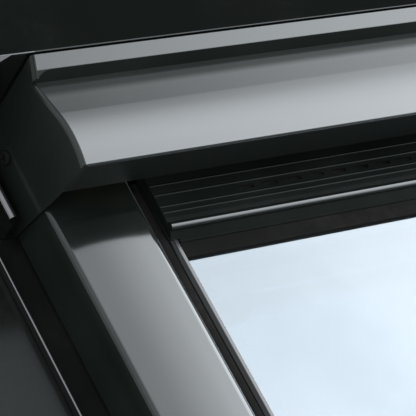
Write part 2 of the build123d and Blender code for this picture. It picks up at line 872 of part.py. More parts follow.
with BuildPart() as glazing_profile:
    with BuildSketch(down_from(sash_end)) as section:
        rib = glass_edge + profile_rib_width + profile_rib
        with BuildLine() as outline:
            rib_foot = (-rib - profile_rib_width, profile_top)
            TangentArc((-rib, rib_top), rib_foot, tangent=(-1, 0))
            Polyline(
                rib_foot,
                (-profile_edge, profile_top),
                (-profile_edge, sash_above),
                (-glass_edge, sash_above),
                (-glass_edge, sash_above + profile_height / 2),
                (-rib + profile_rib_width, rib_top),
                (-rib, rib_top),
            )
        make_face()
    extrude(amount=sash_end - bottom_seal_start)
write_pair(glazing_profile.part, "glazing_profile")

for name, outer, inner, reach in (
    ("glazing_seal_top", rebate_top, glass_top - top_seal_overhang, glass_edge),
    ("glazing_seal_bottom", -rebate_bottom, bottom_seal_start, glass_side),
):
    with BuildPart() as seal:
        with BuildSketch(across_from(-reach)) as section:
            low, high = sorted((outer, inner))
            with Locations(((low + high) / 2, sash_above + seal_height / 2)):
                Rectangle(high - low, seal_height)
            fillet(section.vertices().group_by(Axis.Y)[-1], seal_round)
        extrude(amount=2 * reach)
    write(seal.part, name)

# Ribbed cover of the top rail, with a rolled bead towards the glass and slots for the ventilation air
top_cover_reach = glass_edge + top_cover_lap
bead_place = glass_top - top_seal_overhang + sash_bead_place
cover_front = bead_place - 2 * sash_bead_radius - bend


def cover_level(y):
    """Height of the top cover's surface."""
    share = (y - bead_place) / (sash_end - bead_place)
    return top_cover_front + share * (top_cover_rear - top_cover_front)


top_cover_line = (
    (sash_end + sheet, top_cover_leg),
    (sash_end + sheet, top_cover_rear),
    (bead_place - sash_bead_radius / 2, top_cover_front),
    (cover_front, seal_top + sheet + seat_gap),
    (cover_front - bend, seal_top + sheet + seat_gap),
)

with BuildPart() as sash_top_cover:
    with BuildSketch(across_from(-top_cover_reach)) as section:
        with BuildLine() as outline:
            Polyline(*top_cover_line)
            offset(amount=sheet, side=Side.LEFT)
        make_face()
        with Locations((bead_place, top_cover_front)):
            Circle(sash_bead_radius)
        for distance in ridge_places:
            with Locations((bead_place + distance, cover_level(bead_place + distance))):
                Circle(ridge_radius)
    extrude(amount=2 * top_cover_reach)
    for start in (-top_cover_reach, top_cover_reach - sheet):
        with BuildSketch(across_from(start)) as end_plate:
            with BuildLine() as outline:
                Polyline(*top_cover_line, close=True)
            make_face()
        extrude(amount=sheet)
    for side in (-1, 1):
        block(sorted((side * (glass_edge - layer_gap), side * (top_cover_reach + cut_margin))),
              (cover_front - 2 * bend, sash_end), (0, rib_top + seat_gap), Mode.SUBTRACT)
        slots_middle = side * (vent_inner_end + vent_outer_end) / 2
        with BuildSketch(Plane.XY.offset(top_cover_front - 2 * sheet)):
            with Locations((slots_middle, bead_place + top_cover_slot_place)):
                with GridLocations(slot_pitch, 1, slot_count, 1):
                    SlotOverall(slot_length, slot_width)
        extrude(amount=3 * sheet + ridge_radius, mode=Mode.SUBTRACT)
write(sash_top_cover.part, "sash_top_cover")

bottom_cover_reach = cover_inner - layer_gap

with BuildPart() as sash_bottom_cover:
    with BuildSketch(across_from(-bottom_cover_reach)) as section:
        front = lower_cover_bottom
        foot_level = seal_top + sheet + seat_gap
        with BuildLine() as outline:
            foot = Polyline(
                (bottom_seal_start - seal_height, foot_level),
                (bottom_seal_start - 2 * seal_height, foot_level),
                (bottom_seal_start - 3 * seal_height, cover_edge_height),
            )
            crown = ThreePointArc(
                foot @ 1,
                ((bottom_seal_start + front) / 2, bottom_cover_crown),
                (front + cover_bend, cover_edge_height),
            )
            edge = RadiusArc(crown @ 1, (front, cover_edge_height - cover_bend), -cover_bend)
            Line(edge @ 1, (front, cover_edge_height - bottom_cover_drop))
            offset(amount=sheet, side=Side.LEFT)
        make_face()
    extrude(amount=2 * bottom_cover_reach)
write(sash_bottom_cover.part, "sash_bottom_cover")


# Ventilation flap, drawn open: local x runs up the flap from its hinge, local y towards the rail
def flap_plane(x):
    angle = math.radians(flap_open)
    return Plane((x, *flap_hinge), x_dir=(0, math.cos(angle), -math.sin(angle)), z_dir=(1, 0, 0))


with BuildPart() as vent_flap:
    with BuildSketch(flap_plane(-flap_length / 2)) as section:
        Circle(flap_thickness / 2)
        with Locations((flap_width / 2, 0)):
            Rectangle(flap_width, flap_thickness)
        fillet(section.vertices().group_by(Axis.X)[-1], flap_round)
    extrude(amount=flap_length)
    flap_pin_end = flap_length / 2 + flap_pin_length
    rod((-flap_pin_end, flap_pin_end), *flap_hinge, flap_pin_radius)
write(vent_flap.part, "vent_flap")

with BuildPart() as flap_seal:
    with BuildSketch(flap_plane(-flap_length / 2 + bend)) as section:
        with Locations(((flap_thickness + flap_width) / 2, (flap_thickness + flap_seal_height) / 2)):
            Rectangle(flap_width - 2 * flap_thickness, flap_seal_height)
    extrude(amount=flap_length - 2 * bend)
write(flap_seal.part, "flap_seal")

with BuildPart() as bar_brackets:
    for middle in (-bar_bracket_place, bar_bracket_place):
        with BuildSketch(flap_plane(middle - bar_bracket_thickness / 2)) as section:
            with BuildLine() as outline:
                Polyline(
                    (flap_thickness / 2, -flap_thickness / 2),
                    (flap_width, -flap_thickness / 2),
                    (bar_along + bar_bracket_waist, -bar_distance),
                    (bar_along - bar_bracket_waist, -bar_distance),
                    close=True,
                )
            make_face()
            with Locations((bar_along, -bar_distance)):
                Circle(bar_eye_radius)
                Circle(bar_radius + seat_gap, mode=Mode.SUBTRACT)
        extrude(amount=bar_bracket_thickness)
write(bar_brackets.part, "bar_brackets")

with BuildPart() as control_bar:
    with BuildSketch(flap_plane(-bar_length / 2)):
        with Locations((bar_along, -bar_distance)):
            Circle(bar_radius)
    extrude(amount=bar_length)
    fillet(control_bar.edges().filter_by(GeomType.CIRCLE), bar_round)
write(control_bar.part, "control_bar")

with BuildPart() as flap_bearings:
    for side in (-1, 1):
        near = flap_length / 2 + layer_gap
        block(sorted((side * near, side * (near + bearing_size))),
              (flap_hinge[0] - bearing_size / 2, flap_hinge[0] + bearing_size / 2),
              (-sash_below - bearing_height, -sash_below))
        rod(sorted((side * near, side * (near + bearing_size))), *flap_hinge,
            flap_pin_radius + running_gap, Mode.SUBTRACT)
write(flap_bearings.part, "flap_bearings")

# Latch: the bolt is drawn back, as it is while the flap stands open
with BuildPart() as latch_case:
    block((-case_half, case_half), (sash_end - latch_case_depth, sash_end), (case_low, case_high))
    tunnel_half = latch_width / 2 + latch_gap
    tunnel_rise = latch_height / 2 + latch_gap
    block((-tunnel_half, tunnel_half), (latch_tip - latch_length - latch_gap, sash_end),
          (latch_level - tunnel_rise, latch_level + tunnel_rise), Mode.SUBTRACT)
write(latch_case.part, "latch_case")

with BuildPart() as latch_bolt:
    block((-latch_width / 2, latch_width / 2), (latch_tip - latch_length, latch_tip),
          (latch_level - latch_height / 2, latch_level + latch_height / 2))
    chamfer(latch_bolt.faces().sort_by(Axis.Y)[-1].edges().filter_by(Axis.X), latch_chamfer)
write(latch_bolt.part, "latch_bolt")

# Barrel bolt and its guide on the sash, and the knob's slot
bolt_y, bolt_z = bolt_place
guide_x = (-sash_side + guide_setback, -sash_side + guide_setback + guide_length)
knob_x = -sash_side + knob_place

with BuildPart() as bolt_guide:
    block(guide_x, (bolt_y - guide_width / 2, bolt_y + guide_width / 2),
          (-sash_below - guide_height, -sash_below))
    fillet(bolt_guide.faces().sort_by(Axis.Z)[0].edges(), bend)
    rod(guide_x, bolt_y, bolt_z, bolt_radius + running_gap, Mode.SUBTRACT)
    with BuildSketch(Plane.XY.offset(-sash_below - guide_height)):
        with Locations((knob_x - bolt_travel / 2, bolt_y)):
            SlotCenterToCenter(bolt_travel, 2 * (knob_radius + latch_gap))
    extrude(amount=guide_height / 2, mode=Mode.SUBTRACT)
write(bolt_guide.part, "bolt_guide")

with BuildPart() as barrel_bolt:
    rod((-bolt_tip, -bolt_tip + bolt_length), bolt_y, bolt_z, bolt_radius)
    chamfer(barrel_bolt.edges().filter_by(GeomType.CIRCLE), bolt_chamfer)
    with BuildSketch(Plane.XY.offset(bolt_z - knob_length)):
        with Locations((knob_x, bolt_y)):
            Circle(knob_radius)
    extrude(amount=knob_length)
    with BuildSketch(Plane.XY.offset(bolt_z - knob_length)):
        with Locations((knob_x, bolt_y)):
            Circle(knob_head_radius)
    extrude(amount=knob_head_height)
write(barrel_bolt.part, "barrel_bolt")
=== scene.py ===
"""Dresses a centre-pivot roof window in dark lacquered metal, clear pine, rubber, zinc and glass."""
import json
import logging
import math
from dataclasses import dataclass, replace
from enum import Enum
from typing import ClassVar

import bmesh
import bpy
from mathutils import Matrix, Vector


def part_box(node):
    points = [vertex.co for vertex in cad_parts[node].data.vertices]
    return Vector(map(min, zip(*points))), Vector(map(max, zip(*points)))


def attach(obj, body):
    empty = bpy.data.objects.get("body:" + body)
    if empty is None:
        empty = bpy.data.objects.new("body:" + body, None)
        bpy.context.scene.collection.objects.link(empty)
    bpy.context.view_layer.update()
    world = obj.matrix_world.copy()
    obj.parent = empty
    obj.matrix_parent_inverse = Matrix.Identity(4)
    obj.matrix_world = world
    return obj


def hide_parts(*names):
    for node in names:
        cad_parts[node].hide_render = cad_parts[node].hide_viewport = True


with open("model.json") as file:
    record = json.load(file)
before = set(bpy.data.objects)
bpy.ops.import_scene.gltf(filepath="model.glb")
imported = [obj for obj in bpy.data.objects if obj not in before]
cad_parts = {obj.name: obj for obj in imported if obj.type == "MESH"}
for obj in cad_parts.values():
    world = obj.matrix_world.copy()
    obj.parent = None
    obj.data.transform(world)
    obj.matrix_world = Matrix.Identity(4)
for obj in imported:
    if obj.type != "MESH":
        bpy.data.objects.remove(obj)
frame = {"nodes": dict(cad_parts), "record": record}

log = logging.getLogger("roof_window")

Colour = tuple[float, float, float]
Place = tuple[float, float, float]
Pairs = tuple[tuple[float, float], ...]
Socket = bpy.types.NodeSocket

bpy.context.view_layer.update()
MM = 0.001
FAR_OFF = 10.0
WHITE: Colour = (1.0, 1.0, 1.0)


class Slot(Enum):
    """The record's material slots."""

    LACQUER = "lacquered_aluminium"
    PINE = "clear_lacquered_pine"
    RUBBER = "black_rubber"
    STEEL = "zinc_plated_steel"
    ALUMINIUM = "anodised_aluminium"
    PLASTIC = "grey_plastic"
    GLASS = "glass"
    APRON = "pleated_sheet"


class Body(Enum):
    """The bodies that new pieces ride on."""

    FRAME = "frame"
    SASH = "sash"
    FLAP = "vent_flap"


class Side(Enum):
    """The left and right halves of the window."""

    LEFT = -1
    RIGHT = 1

    @property
    def word(self) -> str:
        """The side's word in the names of pieces."""
        return self.name.lower()


class Axis(Enum):
    """The directions across the window, up its slope and out of the roof."""

    ACROSS = 0
    UP_SLOPE = 1
    OUT = 2


class Tree:
    """A node tree with short calls for its nodes and links."""

    MIX_INPUTS = (0, 6, 7)
    MIX_RESULT = 2

    def __init__(self, tree: bpy.types.NodeTree) -> None:
        """Takes over a tree.

        Args:
            tree: The tree that nodes are added to.
        """
        self.tree = tree

    def add(self, kind: str, **values: object) -> bpy.types.Node:
        """Adds a node and sets its properties and inputs.

        Args:
            kind: The node's type without the ShaderNode prefix.
            values: Properties of the node, or inputs by name with spaces as underscores.

        Returns:
            The node.
        """
        node = self.tree.nodes.new("ShaderNode" + kind)
        for name, value in values.items():
            if hasattr(node, name):
                setattr(node, name, value)
            else:
                self.put(node, name.replace("_", " "), value)
        return node

    def put(self, node: bpy.types.Node, name: str | int, value: object) -> None:
        """Sets an input to a value, or links an output to it.

        Args:
            node: The node that has the input.
            name: The input's name or number.
            value: A number, a vector, a colour without alpha, or an output socket.
        """
        entry = node.inputs[name]
        if isinstance(value, Socket):
            self.tree.links.new(value, entry)
        elif entry.type == "RGBA":
            entry.default_value = (*value, 1.0)
        else:
            entry.default_value = value

    def put_all(self, node: bpy.types.Node, **values: object) -> None:
        """Sets or links several inputs.

        Args:
            node: The node that has the inputs.
            values: The inputs by name, with spaces as underscores.
        """
        for name, value in values.items():
            self.put(node, name.replace("_", " "), value)

    def maths(self, operation: str, first: object, second: object = 0.5) -> Socket:
        """Returns the result of a Math node on two numbers or sockets."""
        node = self.add("Math", operation=operation)
        self.put(node, 0, first)
        self.put(node, 1, second)
        return node.outputs[0]

    def times(self, first: object, *others: object) -> object:
        """Returns the product of numbers or sockets, or the first if it is alone."""
        product = first
        for other in others:
            product = self.maths("MULTIPLY", product, other)
        return product

    def dot(self, first: object, second: object) -> Socket:
        """Returns the dot product of two vectors."""
        node = self.add("VectorMath", operation="DOT_PRODUCT")
        self.put(node, 0, first)
        self.put(node, 1, second)
        return node.outputs["Value"]

    def noise(self, vector: Socket, scale: object, detail: float = 3.0) -> Socket:
        """Returns the value of a noise over a vector."""
        return self.add("TexNoise", Vector=vector, Scale=scale, Detail=detail).outputs["Fac"]

    def span(self, value: object, low: float | Socket, high: float | Socket, to_low: float = 0.0,
             to_high: float = 1.0) -> Socket:
        """Returns a value mapped smoothly from one range to another."""
        return self.add("MapRange", interpolation_type="SMOOTHSTEP", Value=value, From_Min=low, From_Max=high,
                        To_Min=to_low, To_Max=to_high).outputs["Result"]

    def mix(self, share: object, first: object, second: object) -> Socket:
        """Returns two colours mixed by a share."""
        node = self.add("Mix", data_type="RGBA")
        for number, value in zip(self.MIX_INPUTS, (share, first, second)):
            self.put(node, number, value)
        return node.outputs[self.MIX_RESULT]

    def part(self, vector: Socket, axis: Axis) -> Socket:
        """Returns one coordinate of a vector."""
        return self.add("SeparateXYZ", Vector=vector).outputs[axis.value]

    def stretch(self, vector: Socket, scale: Place) -> Socket:
        """Returns a vector stretched along its axes."""
        return self.add("Mapping", Vector=vector, Scale=scale).outputs["Vector"]

    def bump(self, strength: float, depth: float, height: Socket) -> Socket:
        """Returns a normal that follows a height."""
        return self.add("Bump", Strength=strength, Distance=depth, Height=height).outputs["Normal"]

    def effect(self, group: bpy.types.NodeTree, **values: object) -> bpy.types.Node:
        """Places an effect's group and sets its inputs.

        Args:
            group: The effect's node group.
            values: The group's inputs by name, with spaces as underscores.

        Returns:
            The group's node.
        """
        node = self.add("Group", node_tree=group)
        self.put_all(node, **values)
        return node


class Effects:
    """The effects that several finishes share, each a node group that is built once."""

    SOCKETS = {float: "NodeSocketFloat", tuple: "NodeSocketColor", Vector: "NodeSocketVector"}
    CLOUD_FINENESS = 12.0
    DUST_FINENESS = 22.0
    DUST_PATCHES = (0.42, 0.72)
    DUST_SPECKS = (0.35, 0.7, 0.3, 1.0)
    DUST_FACING_OUT = (0.4, 0.95)
    WEAR_SAMPLES = 4
    WEAR_BEND = (0.995, 0.85)
    WEAR_PATCH_SIZE = 60.0
    WEAR_PATCHES = (0.35, 0.65, 0.35, 1.0)
    SKIN_FINENESS = 4.0
    SKIN_FINE_SHARE = 0.35
    RING_WARP_SIZE = 1.1
    RING_DARKENS = (0.25, 0.9)
    RING_ENDS = (1.0, 0.93)
    RING_BROKEN_BY_FIBRE = (0.25, 0.75, 0.45, 1.0)
    RING_RELIEF = 0.6
    FIBRE_RELIEF = 0.4

    def __init__(self) -> None:
        """Builds the groups."""
        self.clouds = self.build_clouds()
        self.dust = self.build_dust()
        self.wear = self.build_wear()
        self.peel = self.build_peel()
        self.figure = self.build_figure()

    def start(self, name: str, inputs: dict[str, type],
              outputs: dict[str, type]) -> tuple[Tree, dict[str, Socket], dict[str, Socket]]:
        """Starts a group with named inputs and outputs.

        Args:
            name: The group's name.
            inputs: The kind of each input.
            outputs: The kind of each output.

        Returns:
            The group's tree, its input sockets by name, and its output node's sockets by name.
        """
        group = bpy.data.node_groups.new(name, "ShaderNodeTree")
        for words, kinds in (("INPUT", inputs), ("OUTPUT", outputs)):
            for label, kind in kinds.items():
                group.interface.new_socket(name=label, in_out=words, socket_type=self.SOCKETS[kind])
        entry = group.nodes.new("NodeGroupInput")
        way_out = group.nodes.new("NodeGroupOutput")
        given = {label: entry.outputs[label] for label in inputs}
        return Tree(group), given, {label: way_out.inputs[label] for label in outputs}

    def finish(self, tree: Tree, ends: dict[str, Socket], **results: Socket) -> bpy.types.NodeTree:
        """Links a group's results to its outputs and returns the group."""
        for label, result in results.items():
            tree.tree.links.new(result, ends[label.replace("_", " ")])
        return tree.tree

    def build_clouds(self) -> bpy.types.NodeTree:
        """Soft uneven patches, as a mask and as a finer grain."""
        tree, given, ends = self.start(
            "soft_clouds", {"Vector": Vector, "Size": float, "Low": float, "High": float},
            {"Mask": float, "Grain": float})
        broad = tree.noise(given["Vector"], given["Size"])
        fine = tree.noise(given["Vector"], tree.times(given["Size"], self.CLOUD_FINENESS), detail=2.0)
        return self.finish(tree, ends, Mask=tree.span(broad, given["Low"], given["High"]), Grain=fine)

    def build_dust(self) -> bpy.types.NodeTree:
        """Dust that settles on what faces out of the roof."""
        tree, given, ends = self.start(
            "settled_dust",
            {"Vector": Vector, "Colour": tuple, "Dust Colour": tuple, "Amount": float, "Size": float},
            {"Colour": tuple, "Mask": float})
        faces_out = tree.part(tree.add("TexCoord").outputs["Normal"], Axis.OUT)
        broad = tree.span(tree.noise(given["Vector"], given["Size"]), *self.DUST_PATCHES)
        fine = tree.noise(given["Vector"], tree.times(given["Size"], self.DUST_FINENESS), detail=2.0)
        speck = tree.times(broad, tree.span(fine, *self.DUST_SPECKS))
        mask = tree.times(speck, tree.span(faces_out, *self.DUST_FACING_OUT), given["Amount"])
        colour = tree.mix(mask, given["Colour"], given["Dust Colour"])
        return self.finish(tree, ends, Colour=colour, Mask=mask)

    def build_wear(self) -> bpy.types.NodeTree:
        """Wear along edges, found where a rounded normal leaves the surface's own."""
        tree, given, ends = self.start(
            "edge_wear", {"Vector": Vector, "Radius": float, "Amount": float}, {"Mask": float})
        rounded = tree.add("Bevel", samples=self.WEAR_SAMPLES, Radius=given["Radius"])
        likeness = tree.dot(rounded.outputs["Normal"], tree.add("NewGeometry").outputs["Normal"])
        edge = tree.span(likeness, *self.WEAR_BEND)
        patches = tree.span(tree.noise(given["Vector"], self.WEAR_PATCH_SIZE), *self.WEAR_PATCHES)
        return self.finish(tree, ends, Mask=tree.times(edge, patches, given["Amount"]))

    def build_peel(self) -> bpy.types.NodeTree:
        """The fine unevenness of a sprayed, moulded or rolled skin."""
        tree, given, ends = self.start("fine_skin", {"Vector": Vector, "Size": float}, {"Height": float})
        broad = tree.noise(given["Vector"], given["Size"], detail=2.0)
        fine = tree.noise(given["Vector"], tree.times(given["Size"], self.SKIN_FINENESS), detail=1.0)
        height = tree.maths("ADD", broad, tree.times(fine, self.SKIN_FINE_SHARE))
        return self.finish(tree, ends, Height=height)

    def build_figure(self) -> bpy.types.NodeTree:
        """The year rings and fibres of sawn pine."""
        tree, given, ends = self.start(
            "pine_figure", {"Vector": Vector, "Rings": float, "Fibre Size": float},
            {"Late Wood": float, "Fibre": float, "Height": float})
        warp = tree.noise(given["Vector"], self.RING_WARP_SIZE, detail=2.0)
        rings = tree.maths("FRACT", tree.times(warp, given["Rings"]))
        late = tree.times(tree.span(rings, *self.RING_DARKENS), tree.span(rings, *self.RING_ENDS))
        fibre = tree.noise(given["Vector"], given["Fibre Size"], detail=4.0)
        share = tree.times(late, tree.span(fibre, *self.RING_BROKEN_BY_FIBRE))
        height = tree.maths("ADD", tree.times(late, self.RING_RELIEF), tree.times(fibre, self.FIBRE_RELIEF))
        return self.finish(tree, ends, Late_Wood=share, Fibre=fibre, Height=height)


def start_material(name: str) -> tuple[bpy.types.Material, Tree, bpy.types.Node, Socket]:
    """Starts a material with its shader and the object's coordinates.

    Args:
        name: The material's name.

    Returns:
        The material, its tree, its shader and the Object coordinates.
    """
    material = bpy.data.materials.new(name)
    material.use_nodes = True
    tree = Tree(material.node_tree)
    shader = material.node_tree.nodes["Principled BSDF"]
    place = tree.add("TexCoord").outputs["Object"]
    return material, tree, shader, place


@dataclass(frozen=True)
class Skin:
    """A finish of one colour, with clouds, dust, edge wear and a fine skin of its own.

    The skin's depth and the wear's radius are in millimetres.
    """

    name: str
    colour: Colour
    roughness: float
    cloud_colour: Colour | None = None
    cloud_size: float = 18.0
    cloud_lift: float = 1.35
    cloud_low: float = 0.3
    cloud_high: float = 0.75
    cloud_smooths: float = 0.92
    cloud_dulls: float = 1.12
    metallic: float = 0.0
    specular: float = 0.5
    coat: float = 0.0
    coat_roughness: float = 0.1
    coat_ior: float = 1.5
    skin_size: float = 700.0
    skin_depth: float = 0.01
    skin_strength: float = 0.4
    stretch: Place = (1.0, 1.0, 1.0)
    dust: float = 0.15
    dust_colour: Colour = (0.16, 0.15, 0.135)
    dust_dulls: float = 0.35
    wear: float = 0.1
    wear_colour: Colour = (0.2, 0.2, 0.2)
    wear_radius: float = 0.8

    def coat_weight(self, tree: Tree, place: Socket) -> object:
        """Returns the coat's weight, or a mask of it."""
        return self.coat

    def material(self, effects: Effects) -> bpy.types.Material:
        """Returns the finish's material.

        Args:
            effects: The shared node groups.
        """
        material, tree, shader, place = start_material(self.name)
        spread = tree.stretch(place, self.stretch)
        clouds = tree.effect(effects.clouds, Vector=spread, Size=self.cloud_size, Low=self.cloud_low,
                             High=self.cloud_high).outputs["Mask"]
        second = self.cloud_colour or tuple(min(self.cloud_lift * share, 1.0) for share in self.colour)
        dust = tree.effect(effects.dust, Vector=place, Colour=tree.mix(clouds, self.colour, second),
                           Dust_Colour=self.dust_colour, Amount=self.dust, Size=self.cloud_size / 2)
        wear = tree.effect(effects.wear, Vector=place, Radius=self.wear_radius * MM, Amount=self.wear)
        clean = tree.span(clouds, 0.0, 1.0, self.roughness * self.cloud_smooths,
                          min(self.roughness * self.cloud_dulls, 1.0))
        skin = tree.effect(effects.peel, Vector=spread, Size=self.skin_size)
        tree.put_all(
            shader,
            Base_Color=tree.mix(wear.outputs["Mask"], dust.outputs["Colour"], self.wear_colour),
            Roughness=tree.maths("ADD", clean, tree.times(dust.outputs["Mask"], self.dust_dulls)),
            Metallic=self.metallic,
            Specular_IOR_Level=self.specular,
            Coat_Weight=self.coat_weight(tree, place),
            Coat_Roughness=self.coat_roughness,
            Coat_IOR=self.coat_ior,
            Normal=tree.bump(self.skin_strength, self.skin_depth * MM, skin.outputs["Height"]))
        return material


@dataclass(frozen=True)
class Zone:
    """A box with soft faces in which a piece's coat is multiplied by a weight: a low weight paints shade
    there, a high one a highlight.

    It reaches from start to end up the slope, from bottom to top out of the roof, and as far as half_width
    to both sides.
    """

    start: float = -FAR_OFF
    end: float = FAR_OFF
    bottom: float = -FAR_OFF
    top: float = FAR_OFF
    half_width: float = FAR_OFF
    weight: float = 0.0
    soft: float = 0.4 * MM

    def within(self, tree: Tree, value: Socket, low: float, high: float) -> Socket:
        """Returns how far a value lies between two limits, with soft edges."""
        return tree.times(tree.span(value, low - self.soft, low + self.soft),
                          tree.span(value, high + self.soft, high - self.soft))

    def share(self, tree: Tree, place: Socket) -> Socket:
        """Returns the share that the coat is multiplied by.

        Args:
            tree: The material's tree.
            place: The Object coordinates.
        """
        limits = {Axis.UP_SLOPE: (self.start, self.end), Axis.OUT: (self.bottom, self.top),
                  Axis.ACROSS: (-self.half_width, self.half_width)}
        inside = [self.within(tree, tree.part(place, axis), *pair) for axis, pair in limits.items()]
        return tree.maths("SUBTRACT", 1.0, tree.times(*inside, 1.0 - self.weight))


@dataclass(frozen=True)
class Lacquer(Skin):
    """A dark lacquer with a clear coat whose weight is cut in some zones to paint shade there and raised in
    others to paint a highlight.
    """

    zones: tuple[Zone, ...] = ()

    def coat_weight(self, tree: Tree, place: Socket) -> object:
        """Returns the coat's weight, zone by zone, with the painted shade and highlights of the zones."""
        return tree.times(self.coat, *(zone.share(tree, place) for zone in self.zones))


@dataclass(frozen=True)
class Pine:
    """Clear-lacquered pine, whose grain runs along a bar."""

    along: Axis
    name: str = "pine"
    pale: Colour = (0.66, 0.43, 0.21)
    ring: Colour = (0.42, 0.205, 0.08)
    knot: Colour = (0.16, 0.062, 0.022)
    across: float = 11.0
    lengthwise: float = 0.75
    rings: float = 15.0
    fibre_size: float = 55.0
    knot_across: float = 4.95
    knot_lengthwise: float = 2.2
    knot_spacing: float = 2.6
    knot_edge: tuple[float, float] = (0.075, 0.03)
    knot_strength: float = 0.85
    roughness_of_fibre: tuple[float, float, float, float] = (0.2, 0.8, 0.3, 0.46)
    coat: float = 0.4
    coat_roughness: float = 0.18
    relief: float = 0.3
    relief_depth: float = 0.09 * MM

    def scale(self, across: float, lengthwise: float) -> Place:
        """Returns a scale with one value along the bar and another across it."""
        return tuple(lengthwise if axis is self.along else across for axis in Axis)

    def material(self, effects: Effects) -> bpy.types.Material:
        """Returns the pine's material for bars of one direction.

        Args:
            effects: The shared node groups.
        """
        material, tree, shader, place = start_material(f"{self.name}_{self.along.name.lower()}")
        spread = tree.stretch(place, self.scale(self.across, self.lengthwise))
        figure = tree.effect(effects.figure, Vector=spread, Rings=self.rings, Fibre_Size=self.fibre_size)
        wood = tree.mix(figure.outputs["Late Wood"], self.pale, self.ring)
        knot_place = tree.stretch(place, self.scale(self.knot_across, self.knot_lengthwise))
        cells = tree.add("TexVoronoi", Scale=self.knot_spacing, Vector=knot_place)
        knots = tree.span(cells.outputs["Distance"], *self.knot_edge)
        tree.put_all(
            shader,
            Base_Color=tree.mix(tree.times(knots, self.knot_strength), wood, self.knot),
            Roughness=tree.span(figure.outputs["Fibre"], *self.roughness_of_fibre),
            Coat_Weight=self.coat,
            Coat_Roughness=self.coat_roughness,
            Normal=tree.bump(self.relief, self.relief_depth, figure.outputs["Height"]))
        return material


@dataclass(frozen=True)
class Glass:
    """Float glass with a faint cool tint and the softest of clouds, a painted reflection of a cloudy sky in
    its tint and, where set, its coat, or a reflecting pane by other values.
    """

    name: str = "float_glass"
    tint: Colour = (0.90, 0.955, 0.985)
    painted_cloud_tint: Colour = (0.925, 0.965, 0.985)
    ior: float = 1.5
    specular: float = 0.12
    mirror_tint: Colour = WHITE
    painted_cloud_sheen: float = 0.0
    sheen_ior: float = 1.6
    cloud_size: float = 8.0
    cloud_low: float = 0.4
    cloud_high: float = 0.66
    roughness_of_grain: tuple[float, float, float, float] = (0.4, 0.8, 0.0, 0.01)

    def material(self, effects: Effects) -> bpy.types.Material:
        """Returns the glass's material.

        Args:
            effects: The shared node groups.
        """
        material, tree, shader, place = start_material(self.name)
        # Painted reflection: the cloud patches lighten the tint and raise the coat's weight.
        clouds = tree.effect(effects.clouds, Vector=place, Size=self.cloud_size, Low=self.cloud_low,
                             High=self.cloud_high)
        tree.put_all(
            shader,
            Base_Color=tree.mix(clouds.outputs["Mask"], self.tint, self.painted_cloud_tint),
            Transmission_Weight=1.0,
            IOR=self.ior,
            Specular_IOR_Level=self.specular,
            Specular_Tint=self.mirror_tint,
            Coat_Weight=tree.times(clouds.outputs["Mask"], self.painted_cloud_sheen),
            Coat_IOR=self.sheen_ior,
            Roughness=tree.span(clouds.outputs["Grain"], *self.roughness_of_grain))
        return material


@dataclass(frozen=True)
class Perforated:
    """Bare aluminium with the rows of pinholes of a glass spacer, drawn as dark dots of painted shade, whose
    pitch is in millimetres.
    """

    name: str = "spacer_aluminium"
    colour: Colour = (0.62, 0.63, 0.64)
    cloud_colour: Colour = (0.7, 0.71, 0.72)
    hole_shade_colour: Colour = (0.02, 0.02, 0.02)
    pitch: float = 3.0
    hole_edge: tuple[float, float] = (0.16, 0.1)
    cloud_size: float = 30.0
    cloud_low: float = 0.3
    cloud_high: float = 0.8
    roughness_of_grain: tuple[float, float, float, float] = (0.2, 0.8, 0.3, 0.42)

    def material(self, effects: Effects) -> bpy.types.Material:
        """Returns the spacer's material.

        Args:
            effects: The shared node groups.
        """
        material, tree, shader, place = start_material(self.name)
        cells = tree.add("TexVoronoi", Scale=1.0 / (self.pitch * MM), Randomness=0.0, Vector=place)
        # Painted shade: the pinholes are drawn as near-black dots, not cut.
        painted_hole_shade = tree.span(cells.outputs["Distance"], *self.hole_edge)
        clouds = tree.effect(effects.clouds, Vector=place, Size=self.cloud_size, Low=self.cloud_low,
                             High=self.cloud_high)
        metal = tree.mix(clouds.outputs["Mask"], self.colour, self.cloud_colour)
        tree.put_all(
            shader,
            Base_Color=tree.mix(painted_hole_shade, metal, self.hole_shade_colour),
            Metallic=1.0,
            Roughness=tree.span(clouds.outputs["Grain"], *self.roughness_of_grain))
        return material


